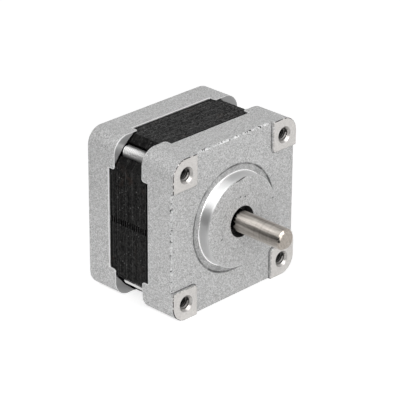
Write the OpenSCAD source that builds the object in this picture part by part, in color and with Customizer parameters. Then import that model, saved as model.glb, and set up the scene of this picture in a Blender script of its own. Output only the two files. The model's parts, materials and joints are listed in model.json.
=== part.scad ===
// Two-phase hybrid stepper motor with a 39 mm square body, as an assembly of its real pieces.
// Millimetres. The shaft points along -Y, +Z is up and +X is on the right seen from the front.
// The origin is the centre of the pilot, on the plane of the four mounting pads.

/* [Body] */
// Radius of the body's long corners
corner_r = 4; // [2:0.1:5]
// Radius of the cast caps' end edges
edge_r = 0.5; // [0.2:0.05:0.8]
// Distance from the mounting plane to the lamination stack
front_len = 8; // [7:0.1:12]
// Length of the lamination stack
stack_len = 12.2; // [9:0.1:30]
// Distance of the mounting holes and tie screws from the body's sides
hole_edge = 4; // [3.5:0.1:4.8]
// Thickness of the caps' side walls
side_wall = 2; // [1.6:0.05:2.4]
// Clearance between pieces that seat on each other
seat_gap = 0.02; // [0.01:0.005:0.05]

/* [Front cap] */
// Height of the mounting pads above the cast face
pad_h = 0.6; // [0.3:0.05:1]
// Reach of each pad inward from its hole's axis
pad_reach = 3.5; // [2.6:0.1:4.2]
// Radius of each pad's inner corner
pad_corner_r = 1; // [0.4:0.1:2]
// Thickness of the front wall
front_wall = 2; // [1.2:0.1:2.4]
// Diameter of the pilot boss
pilot_d = 22; // [19:0.1:24]
// Height of the pilot boss above the mounting plane
pilot_h = 2; // [1.2:0.1:3]
// Chamfer on the pilot's front edge
pilot_chamfer = 0.3; // [0.1:0.05:0.5]
// Width of the turned recess around the pilot
recess_w = 1.7; // [0.8:0.1:2]
// Depth of the turned recess around the pilot
recess_depth = 0.1; // [0.05:0.01:0.3]
// Diameter of the hole that the shaft comes out of
shaft_hole_d = 7.4; // [6.6:0.1:9]
// Diameter of the mounting holes inside their thread
thread_minor_d = 2.5; // [2.2:0.05:2.6]
// Depth of the mounting holes
thread_depth = 4.5; // [3:0.1:5.5]
// Diameter of the countersink at each mounting hole
countersink_d = 4; // [3.2:0.1:5]
// Length of the front cap's corner lobes
front_lobe_len = 1.8; // [0.8:0.1:3]
// Length of the rear cap's corner lobes
rear_lobe_len = 2; // [0.8:0.1:3]
// Reach of each lobe inward from its screw's axis
lobe_reach = 3.3; // [2.4:0.1:4.5]
// Radius of the rounded step at each lobe's end
lobe_r = 0.8; // [0.3:0.1:0.8]

/* [Rear cap] */
// Thickness of the rear wall
rear_wall = 1.6; // [1.2:0.1:2]
// Thickness of the rear wall behind the bearing
pocket_wall = 0.9; // [0.6:0.05:1]
// Diameter of the turned groove in the rear face
rear_groove_d = 20; // [14:0.5:24]
// Width of the turned groove in the rear face
rear_groove_w = 0.8; // [0.4:0.1:1.5]
// Depth of the turned groove in the rear face
rear_groove_depth = 0.3; // [0.1:0.05:0.5]

/* [Stator] */
// Recess of the stack's sides behind the caps' sides
stack_inset = 0.25; // [0.1:0.05:0.6]
// Distance of the stack's corner faces outside the tie screws' axes
corner_face = 1.25; // [0.6:0.05:2.4]
// Width of the slot for each tie screw
screw_slot_w = 3.6; // [3.2:0.1:4.2]
// Width of the aligning groove along two sides of the stack
align_w = 1.5; // [0.8:0.1:2.5]
// Depth of the aligning groove
align_depth = 0.4; // [0.2:0.05:0.8]
// Thickness of the ring behind the slots, at the middle of a side
yoke_t = 2.2; // [1.6:0.1:2.8]
// Width of each pole
pole_w = 4.2; // [3:0.1:4.8]
// Thickness of each pole's shoe behind its teeth
shoe_t = 0.9; // [0.6:0.1:1.4]
// Depth of the winding slots, from the shoes to the ring, at the middle of a side
slot_depth = 4.65; // [3.8:0.05:6]
// Depth of the stator's and the rotor's teeth
tooth_depth = 0.45; // [0.3:0.05:0.7]

/* [Windings] */
// Thickness of the insulators' slot walls
liner_t = 0.4; // [0.25:0.05:0.6]
// Thickness of the insulators over the poles' ends
cover_t = 0.8; // [0.5:0.1:1]
// Height of the insulators' inner wall beyond the stack
flange_h = 3.5; // [3.2:0.1:3.9]
// Height of the insulators' outer wall beyond the stack
outer_wall_h = 2.4; // [1.2:0.1:3]
// Gap between neighbouring coils in a slot
coil_gap = 0.6; // [0.3:0.1:1.2]

/* [Rotor] */
// Diameter over the rotor's teeth
rotor_d = 21.9; // [20.4:0.1:23]
// Number of teeth on each rotor core
rotor_teeth = 50; // [50]
// Gap between the rotor's and the stator's teeth
air_gap = 0.1; // [0.05:0.01:0.3]
// Length of the magnet disc between the cores
magnet_len = 2; // [1:0.1:4]
// Diameter of the magnet disc
magnet_d = 17.6; // [12:0.1:19]
// Distance that the rotor lies inside each end of the stack
rotor_inset = 0.1; // [0:0.05:0.5]

/* [Shaft] */
// Diameter of the shaft
shaft_d = 5; // [4.5:0.05:5.6]
// Distance from the mounting plane to the shaft's tip
shaft_out = 15.3; // [8:0.1:24]
// Chamfer on the shaft's tip
tip_chamfer = 0.5; // [0.2:0.05:1]
// Width of the grinding relief in front of the front bearing
relief_w = 0.8; // [0.7:0.1:1.2]
// Depth of the grinding relief
relief_depth = 0.2; // [0.17:0.01:0.3]
// Thickness of the spacers on the shaft
spacer_t = 1.4; // [0.8:0.1:1.6]
// Length of the spacer between the rotor and the rear bearing
rear_spacer_len = 0.5; // [0.3:0.05:2]

/* [Bearings] */
// Outer diameter of each ball bearing
bearing_d = 16; // [15:0.1:17]
// Width of each ball bearing
bearing_w = 5; // [4.8:0.05:5.1]
// Number of balls in each bearing
ball_count = 7; // [6:1:8]
// Clearance between the balls and their tracks
ball_gap = 0.04; // [0.02:0.01:0.08]
// Thickness of the bearing shields
shield_t = 0.25; // [0.15:0.05:0.35]
// Wall of the caps around each bearing
hub_wall = 1.5; // [1:0.1:1.8]
// Height that the wave washer fills behind the rear bearing
wave_h = 0.5; // [0.4:0.05:0.6]
// Thickness of the wave washer's strip
wave_t = 0.2; // [0.1:0.05:0.3]
// Radial width of the wave washer's strip
wave_w = 1.4; // [0.8:0.1:1.5]

/* [Tie screws] */
// Diameter of the tie screws
screw_d = 3; // [2.8:0.05:3.1]
// Diameter of the screws' heads
head_d = 5.5; // [5:0.1:5.8]
// Height of the screws' heads
head_h = 2; // [1.6:0.1:2.1]
// Thickness of the spring washers
washer_t = 0.5; // [0.3:0.05:0.6]
// Diameter of the pockets for the screws' heads
head_pocket_d = 6.4; // [6:0.1:6.6]
// Depth of the heads below the rear face
head_sink = 0.2; // [0.05:0.05:0.5]
// Width of the cross recess in each head
cross_w = 0.7; // [0.5:0.05:0.9]
// Length of the cross recess in each head
cross_len = 2.8; // [2:0.1:3.4]
// Depth of the cross recess in each head
cross_depth = 1.2; // [0.8:0.1:1.5]

/* [Terminal board and connector] */
// Thickness of the terminal board
board_t = 0.8; // [0.5:0.05:1]
// Number of pins
pin_count = 6; // [4:1:6]
// Spacing of the pins
pin_pitch = 2; // [1.8:0.05:2.1]
// Thickness of the square pins
pin_t = 0.5; // [0.4:0.05:0.55]
// Length of each pin on the terminal board
pin_tail = 1.4; // [0.8:0.1:2]
// Width of the connector beyond its outer pins
conn_margin = 1.95; // [1.4:0.05:2.2]
// Height of the connector
conn_h = 4.8; // [4.2:0.05:5]
// Wall of the connector's socket
conn_wall = 0.6; // [0.4:0.05:0.8]
// Thickness of the connector's floor
conn_floor = 0.8; // [0.6:0.1:1.2]
// Distance that the connector stands out of the body's side
conn_out = 2; // [1:0.1:4]
// Width of the slot in the connector's rear wall
key_w = 3; // [2:0.1:5]

/* [Hidden] */
$fn = 96;

// Distance that a cut runs past the face it opens
over = 1;
poles = 8;
teeth_per_pole = 6;
// Diagonal of a square, as a share of its side
diagonal_share = sqrt(2);
// Half widths of a tooth at its tip and root, as shares of the tooth pitch
tip_share = 0.23;
root_share = 0.27;
// Radius of a coil's turns at its ends, as a share of its thickness there
coil_round_share = 0.8;
// Diameter of a ball, as a share of the bearing's section, and the cage's radial thickness and
// the rings' shoulders over the pitch circle, as shares of the ball's radius
ball_share = 0.433;
cage_share = 0.6;
shoulder_share = 0.76;
// Gap from a bearing's face to its shields, and from the shields to the ring beside them
shield_sink = 0.2;
shield_gap = 0.25;
// Depth of the shields' seat in the outer ring, and the rim that the cage has beyond its pockets
shield_grip = 0.65;
cage_rim = 0.33;
pocket_gap = 0.03;
// Waves round the washer, and steps along them
wave_count = 3;
wave_steps = 48;
// Clearances of the screws, the windings, the board and the connector
screw_gap = 0.15;
washer_gap = 0.05;
washer_split = 0.4;
winding_gap = 0.1;
wall_gap = 0.1;
outer_wall_t = 0.45;
board_gap = 0.3;
conn_gap = 0.1;
coil_inner_r = 0.4;
center_mark_r = 1;
center_mark_depth = 0.4;
hub_over = 0.2;
shaft_short = 0.2;

rotor_r = rotor_d / 2;
bore_r = rotor_r + air_gap;
root_r = bore_r + tooth_depth;
shoe_r = root_r + shoe_t;
yoke_r = shoe_r + slot_depth;
stack_half = yoke_r + yoke_t;
body_half = stack_half + stack_inset;
body_side = 2 * body_half;

hole_p = body_half - hole_edge;
hole_r = hole_p * diagonal_share;
pad_edge = hole_p - pad_reach;
pilot_r = pilot_d / 2;
shaft_r = shaft_d / 2;
cavity_r = body_half - side_wall;

stack_y0 = front_len;
stack_y1 = stack_y0 + stack_len;
stack_mid = (stack_y0 + stack_y1) / 2;
rotor_y0 = stack_y0 + rotor_inset;
rotor_y1 = stack_y1 - rotor_inset;
core_len = (rotor_y1 - rotor_y0 - magnet_len) / 2;
front_bearing_y = 0;
rear_bearing_y = rotor_y1 + rear_spacer_len;
pocket_y = rear_bearing_y + bearing_w + wave_h;
rear_y = pocket_y + pocket_wall;

tooth_pitch = 360 / rotor_teeth;
shoe_span = tooth_pitch * ((teeth_per_pole - 1) / 2 + root_share);

outer_wall_r1 = cavity_r - wall_gap;
outer_wall_r0 = outer_wall_r1 - outer_wall_t;
liner_half = pole_w / 2 + seat_gap + liner_t;
liner_r1 = sqrt(pow(yoke_r - wall_gap / 2, 2) - pow(liner_half, 2));
flange_r0 = root_r + winding_gap;
coil_r0 = shoe_r + liner_t + winding_gap;
coil_limit = min(yoke_r - winding_gap * 2, outer_wall_r0 - winding_gap);
coil_half = (coil_r0 * sin(180 / poles) - coil_gap / 2) / cos(180 / poles);
coil_r1 = sqrt(pow(coil_limit, 2) - pow(coil_half, 2));
coil_in_half = liner_half + seat_gap;
coil_in_len = stack_len / 2 + cover_t + seat_gap;
coil_end_t = flange_h - cover_t - seat_gap - pin_t - winding_gap;

bearing_r = bearing_d / 2;
hub_r = bearing_r + hub_wall;
ball_r = (bearing_r - shaft_r) * ball_share / 2;
cage_t = ball_r * cage_share;
track_r = (bearing_r + shaft_r) / 2;
shoulder = ball_r * shoulder_share;
seat_r = bearing_r + seat_gap;
shield_r = track_r + shoulder + shield_grip;
cage_half = ball_r + pocket_gap + cage_rim;

head_y = rear_y - head_sink - head_h;
washer_y = head_y - washer_t;
screw_tip_y = thread_depth + screw_gap;
screw_r = screw_d / 2;

board_y = stack_y1 + flange_h;
conn_x0 = coil_r1 + board_gap;
conn_x1 = body_half + conn_out;
conn_w = pin_pitch * (pin_count - 1) + 2 * conn_margin;
conn_mid = board_y - pin_t / 2;
conn_y0 = conn_mid - conn_h / 2;
conn_y1 = conn_mid + conn_h / 2;
pin_x1 = conn_x1 - conn_wall;

// An outline in X and Z, drawn out along Y from y0 to y1
module slab(y0, y1) {
    translate([0, y1, 0]) rotate([90, 0, 0]) linear_extrude(y1 - y0) children();
}

// An outline of radius and Y, turned about the motor's axis
module turned() {
    rotate([-90, 0, 0]) rotate_extrude() children();
}

// Copies at the four corners, a distance p from the axis in X and Z
module at_corners(p) {
    for (x = [-1, 1], z = [-1, 1]) translate([x * p, 0, z * p]) children();
}

// Copies at angle steps about the motor's axis
module around(i, n) {
    rotate([0, -360 * i / n, 0]) children();
}

module rounded_rectangle(w, h, r) {
    square([w, h - 2 * r], center = true);
    square([w - 2 * r, h], center = true);
    for (x = [-1, 1], y = [-1, 1]) translate([x * (w / 2 - r), y * (h / 2 - r)]) circle(r);
}

// A quarter disc that rounds an outer edge
module quarter(r) {
    intersection() {
        circle(r);
        square(r);
    }
}

// The section of that rounded end, from its straight side's root out to the side
module edge_section() {
    square([corner_r - edge_r, edge_r]);
    translate([corner_r - edge_r, 0]) quarter(edge_r);
}

// The rounded end of the rear cap: its flat middle, four straight edges and four turned corners
module rounded_end() {
    flat = body_half - corner_r;
    linear_extrude(edge_r) square(2 * flat, center = true);
    for (a = [0:90:270]) rotate(a) {
        translate([flat, flat, 0]) rotate([90, 0, 0]) linear_extrude(2 * flat) edge_section();
        translate([flat, flat, 0]) rotate_extrude(angle = 90) edge_section();
    }
}

// The rear cap's block, from its lobes' ends to its rounded rear end
module rear_block() {
    translate([0, rear_y - edge_r, 0]) rotate([-90, 0, 0]) rounded_end();
    slab(stack_y1 - rear_lobe_len, rear_y - edge_r)
        rounded_rectangle(body_side, body_side, corner_r);
}

// What is cut from a cap's side between two lobes: the opening and its rounded ends
module lobe_opening(lobe_len) {
    half = hole_p - lobe_reach;
    translate([-half, 0]) square([2 * half, lobe_len + over]);
    for (side = [0, 1]) mirror([side, 0]) translate([half, lobe_len - lobe_r]) difference() {
        translate([-over, 0]) square([lobe_r + over, lobe_r + over]);
        translate([lobe_r, 0]) circle(lobe_r);
        translate([-2 * over, -over]) square([over, lobe_r + 3 * over]);
    }
}

// The cut that shapes a cap's rim and lobes, for a rim at Y = 0 with lobes towards +Y
module lobe_cut(lobe_len) {
    slab(0, lobe_len + over) stack_outline(seat_gap);
    for (a = [0, 90]) rotate([0, a, 0]) translate([0, 0, -body_side / 2 - over])
        linear_extrude(body_side + 2 * over) lobe_opening(lobe_len);
}

// The outline of the lamination stack, grown by a clearance
module stack_outline(gap) {
    h = stack_half + gap;
    e = 2 * hole_p + (corner_face + gap) * diagonal_share - h;
    polygon([[h, -e], [h, e], [e, h], [-e, h], [-h, e], [-h, -e], [-e, -h], [e, -h]]);
}

// The square corners that the four pads take, running past the body's sides
module pad_squares() {
    reach = body_half - pad_edge + 2 * over;
    for (a = [0:90:270]) rotate(a) translate([pad_edge + reach / 2, pad_edge + reach / 2])
        rounded_rectangle(reach, reach, pad_corner_r);
}

// The front cap's block with its four pads, down to its lobes' ends
module padded_block() {
    difference() {
        slab(0, front_len + front_lobe_len) rounded_rectangle(body_side, body_side, corner_r);
        slab(-over, pad_h) difference() {
            square(body_side + 2 * over, center = true);
            pad_squares();
        }
        for (a = [0:90:270]) rotate([0, a, 0])
            translate([body_half - edge_r, pad_h + edge_r, -pad_edge])
                linear_extrude(2 * pad_edge) difference() {
                    translate([0, -edge_r - over]) square(edge_r + over);
                    circle(edge_r);
                }
    }
}

module pilot_boss() {
    turned() polygon([
        [0, -pilot_h],
        [pilot_r - pilot_chamfer, -pilot_h],
        [pilot_r, -pilot_h + pilot_chamfer],
        [pilot_r, pad_h + front_wall / 2],
        [0, pad_h + front_wall / 2]
    ]);
}

// The hollow that the windings and the bearing's hub leave in the front cap
module front_cavity() {
    inner_y = pad_h + front_wall;
    hub_y = front_bearing_y + bearing_w + hub_over;
    turned() polygon([
        [0, hub_y],
        [hub_r, hub_y],
        [hub_r, inner_y],
        [cavity_r, inner_y],
        [cavity_r, front_len + over],
        [0, front_len + over]
    ]);
}

module mounting_hole() {
    sink = (countersink_d - thread_minor_d) / 2;
    slab(-over, thread_depth + seat_gap) circle(d = thread_minor_d);
    turned() polygon([[0, 0], [countersink_d / 2, 0], [thread_minor_d / 2, sink], [0, sink]]);
    slab(-over, 0) circle(d = countersink_d);
    slab(thread_depth, front_len + front_lobe_len + over) circle(screw_r + seat_gap);
}

module front_cap() {
    color("#c4c5c7") difference() {
        union() {
            difference() {
                padded_block();
                slab(pad_h - over, pad_h + recess_depth) circle(pilot_r + recess_w);
            }
            pilot_boss();
        }
        translate([0, front_len, 0]) lobe_cut(front_lobe_len);
        front_cavity();
        slab(front_bearing_y, front_len) circle(seat_r);
        slab(-pilot_h - over, front_len) circle(d = shaft_hole_d);
        at_corners(hole_p) mounting_hole();
    }
}

// The hollow that the windings and the bearing's hub leave in the rear cap
module rear_cavity() {
    inner_y = rear_y - rear_wall;
    hub_y = rear_bearing_y - hub_over;
    turned() polygon([
        [0, hub_y],
        [hub_r, hub_y],
        [hub_r, inner_y],
        [cavity_r, inner_y],
        [cavity_r, stack_y1 - over],
        [0, stack_y1 - over]
    ]);
}

// The connector's block, grown by a clearance and drawn out past the body's side by reach
module connector_block(gap, reach) {
    translate([conn_x0 - gap, conn_y0 - gap, -conn_w / 2 - gap])
        cube([conn_x1 - conn_x0 + gap + reach, conn_h + 2 * gap, conn_w + 2 * gap]);
}

module rear_cap() {
    groove_r = rear_groove_d / 2;
    color("#c4c5c7") difference() {
        rear_block();
        translate([0, stack_y1, 0]) mirror([0, 1, 0]) lobe_cut(rear_lobe_len);
        rear_cavity();
        slab(stack_y1 - over, pocket_y) circle(seat_r);
        connector_block(conn_gap, over);
        slab(rear_y - rear_groove_depth, rear_y + over) difference() {
            circle(groove_r + rear_groove_w / 2);
            circle(groove_r - rear_groove_w / 2);
        }
        slab(rear_y - center_mark_depth, rear_y + over) circle(center_mark_r);
        at_corners(hole_p) {
            slab(stack_y1 - rear_lobe_len - over, rear_y) circle(screw_r + screw_gap);
            slab(washer_y, rear_y + over) circle(d = head_pocket_d);
        }
    }
}

function polar(r, a) = [r * cos(a), r * sin(a)];

// One tooth's points, root and tip, about the angle a
function tooth(a, root, tip) = [
    polar(root, a - tooth_pitch * root_share),
    polar(tip, a - tooth_pitch * tip_share),
    polar(tip, a + tooth_pitch * tip_share),
    polar(root, a + tooth_pitch * root_share)
];

module pole_shoe() {
    first = -(teeth_per_pole - 1) / 2;
    polygon([
        for (i = [0:teeth_per_pole - 1]) each tooth((first + i) * tooth_pitch, root_r, bore_r),
        for (k = [0:teeth_per_pole]) polar(shoe_r, shoe_span * (1 - 2 * k / teeth_per_pole))
    ]);
}

module stator_core() {
    color("#2f3032") union() {
        slab(stack_y0, stack_y1) difference() {
            stack_outline(0);
            circle(yoke_r);
            for (a = [45:90:315]) rotate(a) translate([hole_r, 0]) {
                circle(d = screw_slot_w);
                translate([0, -screw_slot_w / 2]) square([corner_face + over, screw_slot_w]);
            }
            for (a = [0, 180]) rotate(a) translate([stack_half - align_depth, -align_w / 2])
                square([align_depth + over, align_w]);
        }
        for (i = [0:poles - 1]) around(i, poles) {
            translate([shoe_r - shoe_t / 2, stack_y0, -pole_w / 2])
                cube([yoke_r - shoe_r + (shoe_t + yoke_t) / 2, stack_len, pole_w]);
            slab(stack_y0, stack_y1) pole_shoe();
        }
    }
}

// The insulator over the stack's front end and half of each slot
module insulator() {
    turned() {
        translate([flange_r0, stack_y0 - flange_h]) square([shoe_r - flange_r0, flange_h]);
        translate([outer_wall_r0, stack_y0 - outer_wall_h])
            square([outer_wall_t, outer_wall_h]);
    }
    for (i = [0:poles - 1]) around(i, poles) {
        translate([shoe_r - shoe_t / 2, stack_y0 - cover_t, -liner_half])
            cube([outer_wall_r0 + outer_wall_t / 2 - shoe_r + shoe_t / 2, cover_t, 2 * liner_half]);
        for (side = [0, 1]) mirror([0, 0, side])
            translate([shoe_r + seat_gap, stack_y0 - cover_t, liner_half - liner_t])
                cube([liner_r1 - shoe_r - seat_gap, stack_len / 2 + cover_t - wall_gap, liner_t]);
    }
}

module front_insulator() {
    color("#e9e6dc") insulator();
}

module rear_insulator() {
    color("#e9e6dc") difference() {
        translate([0, 2 * stack_mid, 0]) mirror([0, 1, 0]) insulator();
        connector_block(conn_gap, over);
    }
}

// One coil round the pole number i, wound up to its neighbours
module coil(i) {
    end = coil_in_len + coil_end_t;
    color("#a8552a") around(i, poles) rotate([0, 90, 0]) translate([0, stack_mid, coil_r0])
        linear_extrude(coil_r1 - coil_r0) difference() {
            rounded_rectangle(2 * coil_half, 2 * end, coil_end_t * coil_round_share);
            rounded_rectangle(2 * coil_in_half, 2 * coil_in_len, coil_inner_r);
        }
}

module shaft() {
    rear_end = rear_bearing_y + bearing_w - shaft_short;
    relief_y = front_bearing_y - relief_w;
    color("#b3aca6") turned() polygon([
        [0, -shaft_out],
        [shaft_r - tip_chamfer, -shaft_out],
        [shaft_r, -shaft_out + tip_chamfer],
        [shaft_r, relief_y],
        [shaft_r - relief_depth, relief_y],
        [shaft_r - relief_depth, front_bearing_y],
        [shaft_r, front_bearing_y],
        [shaft_r, rear_end - tip_chamfer],
        [shaft_r - tip_chamfer, rear_end],
        [0, rear_end]
    ]);
}

// One toothed rotor core, turned by the angle a
module rotor_core(y0, a) {
    color("#6d7074") slab(y0, y0 + core_len) difference() {
        polygon([
            for (i = [0:rotor_teeth - 1]) each tooth(a + i * tooth_pitch, rotor_r - tooth_depth, rotor_r)
        ]);
        circle(shaft_r);
    }
}

module rotor_magnet() {
    color("#4a4c50") slab(rotor_y0 + core_len, rotor_y1 - core_len) difference() {
        circle(d = magnet_d);
        circle(shaft_r);
    }
}

// A spacer ring on the shaft between y0 and y1
module spacer(y0, y1) {
    color("#c9b06a") slab(y0, y1) difference() {
        circle(shaft_r + spacer_t);
        circle(shaft_r + seat_gap);
    }
}

// The ball track about a bearing's middle, grown by a clearance
module ball_track(y) {
    turned() translate([track_r, y + bearing_w / 2]) circle(ball_r + ball_gap);
}

module bearing_outer_ring(y) {
    seat = shield_sink + shield_t;
    color("#a9adb2") difference() {
        slab(y, y + bearing_w) difference() {
            circle(bearing_r);
            circle(track_r + shoulder);
        }
        ball_track(y);
        slab(y - over, y + seat) circle(shield_r);
        slab(y + bearing_w - seat, y + bearing_w + over) circle(shield_r);
    }
}

module bearing_inner_ring(y) {
    color("#a9adb2") difference() {
        slab(y, y + bearing_w) difference() {
            circle(track_r - shoulder);
            circle(shaft_r);
        }
        ball_track(y);
    }
}

module bearing_balls(y) {
    color("#d9dbde") for (i = [0:ball_count - 1]) around(i, ball_count)
        translate([track_r, y + bearing_w / 2, 0]) sphere(ball_r);
}

module bearing_cage(y) {
    mid = y + bearing_w / 2;
    color("#b99a4e") difference() {
        slab(mid - cage_half, mid + cage_half) difference() {
            circle(track_r + cage_t / 2);
            circle(track_r - cage_t / 2);
        }
        for (i = [0:ball_count - 1]) around(i, ball_count) translate([track_r, mid, 0])
            rotate([0, 90, 0]) cylinder(h = cage_t + over, r = ball_r + pocket_gap, center = true);
    }
}

module bearing_shields(y) {
    color("#9ea2a7") for (side = [y + shield_sink, y + bearing_w - shield_sink - shield_t])
        slab(side, side + shield_t) difference() {
            circle(shield_r - seat_gap);
            circle(track_r - shoulder + shield_gap);
        }
}

// The washer's strip follows three waves between the rear bearing and its pocket's floor
module wave_washer() {
    r1 = seat_r - wall_gap;
    r0 = r1 - wave_w;
    mid = pocket_y - wave_h / 2;
    swing = (wave_h - wave_t) / 2 - seat_gap / 2;
    section = [[r0, -wave_t / 2], [r1, -wave_t / 2], [r1, wave_t / 2], [r0, wave_t / 2]];
    sides = len(section);
    points = [
        for (i = [0:wave_steps - 1])
            let (a = 360 * i / wave_steps, y = mid + swing * sin(wave_count * a))
                for (p = section) [p[0] * cos(a), y + p[1], p[0] * sin(a)]
    ];
    faces = [
        for (i = [0:wave_steps - 1], k = [0:sides - 1])
            let (j = (i + 1) % wave_steps, m = (k + 1) % sides)
                each [
                    [i * sides + k, j * sides + m, i * sides + m],
                    [i * sides + k, j * sides + k, j * sides + m]
                ]
    ];
    color("#8f9398") polyhedron(points, faces);
}

module tie_screw() {
    difference() {
        union() {
            slab(screw_tip_y, head_y) circle(screw_r);
            slab(head_y, head_y + head_h) circle(d = head_d);
        }
        for (a = [0, 90]) rotate([0, a, 0]) slab(head_y + head_h - cross_depth, head_y + head_h + over)
            square([cross_len, cross_w], center = true);
    }
}

module tie_screws() {
    color("#d3d4d2") at_corners(hole_p) tie_screw();
}

module spring_washers() {
    color("#8f9398") at_corners(hole_p) slab(washer_y, head_y) difference() {
        circle(d = head_d);
        circle(screw_r + washer_gap);
        translate([0, -washer_split / 2]) square([head_d, washer_split]);
    }
}

module terminal_board() {
    color("#2f6b3d") difference() {
        slab(board_y, board_y + board_t) difference() {
            circle(cavity_r - board_gap);
            circle(flange_r0);
        }
        connector_block(conn_gap, over);
    }
}

module connector_housing() {
    color("#efeade") difference() {
        connector_block(0, 0);
        translate([conn_x0 + conn_floor, conn_y0 + conn_wall, conn_wall - conn_w / 2])
            cube([conn_x1 - conn_x0, conn_h - 2 * conn_wall, conn_w - 2 * conn_wall]);
        translate([body_half + conn_gap, conn_y1 - conn_wall - over, -key_w / 2])
            cube([conn_out + over, conn_wall + 2 * over, key_w]);
        connector_pins_at(seat_gap);
    }
}

// The pins in their row, grown by a clearance
module connector_pins_at(gap) {
    for (i = [0:pin_count - 1])
        translate([conn_x0 - pin_tail, conn_mid - pin_t / 2 - gap,
                   (i - (pin_count - 1) / 2) * pin_pitch - pin_t / 2 - gap])
            cube([pin_x1 - conn_x0 + pin_tail, pin_t + 2 * gap, pin_t + 2 * gap]);
}

module connector_pins() {
    color("#c8b26b") connector_pins_at(0);
}

front_cap();
rear_cap();
stator_core();
front_insulator();
rear_insulator();
coil(0);  // coil_1
coil(1);  // coil_2
coil(2);  // coil_3
coil(3);  // coil_4
coil(4);  // coil_5
coil(5);  // coil_6
coil(6);  // coil_7
coil(7);  // coil_8
shaft();
rotor_core(rotor_y0, 0);  // rotor_core_front
rotor_core(rotor_y1 - core_len, tooth_pitch / 2);  // rotor_core_rear
rotor_magnet();
spacer(front_bearing_y + bearing_w, rotor_y0);  // front_spacer
spacer(rotor_y1, rear_bearing_y);  // rear_spacer
bearing_outer_ring(front_bearing_y);  // front_bearing_outer_ring
bearing_inner_ring(front_bearing_y);  // front_bearing_inner_ring
bearing_balls(front_bearing_y);  // front_bearing_balls
bearing_cage(front_bearing_y);  // front_bearing_cage
bearing_shields(front_bearing_y);  // front_bearing_shields
bearing_outer_ring(rear_bearing_y);  // rear_bearing_outer_ring
bearing_inner_ring(rear_bearing_y);  // rear_bearing_inner_ring
bearing_balls(rear_bearing_y);  // rear_bearing_balls
bearing_cage(rear_bearing_y);  // rear_bearing_cage
bearing_shields(rear_bearing_y);  // rear_bearing_shields
wave_washer();
tie_screws();
spring_washers();
terminal_board();
connector_housing();
connector_pins();
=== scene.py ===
import json
import math
import random

import bmesh
import bpy
from mathutils import Matrix, Vector


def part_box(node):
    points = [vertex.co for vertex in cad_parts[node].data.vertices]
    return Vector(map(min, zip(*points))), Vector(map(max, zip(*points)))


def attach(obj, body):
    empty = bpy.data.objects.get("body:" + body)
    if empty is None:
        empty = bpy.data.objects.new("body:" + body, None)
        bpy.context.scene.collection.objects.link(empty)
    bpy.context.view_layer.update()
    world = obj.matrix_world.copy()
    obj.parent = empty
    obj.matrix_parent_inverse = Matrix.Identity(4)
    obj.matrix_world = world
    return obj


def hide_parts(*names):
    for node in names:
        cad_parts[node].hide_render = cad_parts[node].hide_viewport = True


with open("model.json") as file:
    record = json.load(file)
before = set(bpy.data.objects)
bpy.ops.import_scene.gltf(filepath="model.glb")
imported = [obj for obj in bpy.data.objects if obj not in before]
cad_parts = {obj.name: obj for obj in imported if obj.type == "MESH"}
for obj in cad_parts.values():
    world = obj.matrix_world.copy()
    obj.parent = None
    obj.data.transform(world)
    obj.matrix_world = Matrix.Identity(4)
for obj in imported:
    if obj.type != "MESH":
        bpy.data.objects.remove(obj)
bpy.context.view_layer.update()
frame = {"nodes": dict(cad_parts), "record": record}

MM = 0.001
nodes = frame["nodes"]
mounts = {m["name"]: m for m in frame["record"]["mounts"]}

# Sizes and places that the frame gives, in metres. The shaft points along -Y, and the pads'
# plane is y = 0.
hole_p = mounts["mounting_holes"]["dims"]["spacing_x_mm"] * MM / 2
thread_minor_r = mounts["mounting_holes"]["dims"]["hole_r_mm"] * MM
thread_start_y = mounts["mounting_holes"]["pos_m"][1]
pilot_r = mounts["pilot"]["dims"]["r_mm"] * MM
stack_lo, stack_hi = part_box("stator_core")
cap_lo, cap_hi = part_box("front_cap")
rear_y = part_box("rear_cap")[1].y
screw_end_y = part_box("tie_screws")[0].y
body_half = cap_hi.x
floor_z = cap_lo.z
screw_axes = [Vector((x * hole_p, 0, z * hole_p)) for x in (-1, 1) for z in (-1, 1)]

# Sizes that the frame doesn't give
PAD_EDGE = 12 * MM          # from the motor's axis to the pads' inner edges
PAD_CORNER_R = 1.0 * MM     # the pads' inner corners
CAST_Y = 0.6 * MM           # the cast face behind the pads
RECESS_R = 12.7 * MM        # the turned recess round the pilot
RECESS_Y = 0.7 * MM         # the recess's floor
SHAFT_HOLE_R = 3.9 * MM     # just past the hole that the shaft leaves by
TAP_RIM_R = 2.05 * MM       # just past a tapped hole's countersink
TAP_BACK_Y = 5 * MM         # just past a tapped hole's bottom
FRONT_EDGES_Y = 7 * MM      # the front cap's edges in front of this are rounded a hair
REAR_RING_R = 10 * MM       # the turned ring in the rear face
SHEET = 0.35 * MM           # one sheet of the stack, with its gap
SHEET_GAP = 0.045 * MM
SLIP_X, SLIP_Z = 0.035, 0.02    # how far a sheet may lie out of line, in millimetres
END_SHEET_SCALE = 0.988     # draws the first and last sheet in from the caps' rims
NOTCH_DEPTH = 0.4 * MM      # the notch in the middle of the stack's sides
NOTCH_HALF = 0.75 * MM      # half its height
THREAD_PITCH = 0.5 * MM
THREAD_DEPTH = 4.45 * MM    # where the tapped threads end
SCREW_R = 1.5 * MM
SCREW_ROOT_R = 1.24 * MM
HEAD_Y = 24.8 * MM          # the underside of the tie screws' heads

# Widths of rounded and broken edges
PILOT_FOOT = 0.24 * MM
LOBE_RIM = 0.2 * MM
PAD_RIM = 0.15 * MM
CONNECTOR_EDGE = 0.1 * MM
SCREW_HEAD_EDGE = 0.07 * MM
CAP_EDGE = 0.06 * MM
SHAFT_EDGE = 0.05 * MM

# How close counts as lying on a plane or circle, and how close points are merged
NEAR = 0.05 * MM
WELD = 0.002 * MM
THREAD_WELD = 0.004 * MM

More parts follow.
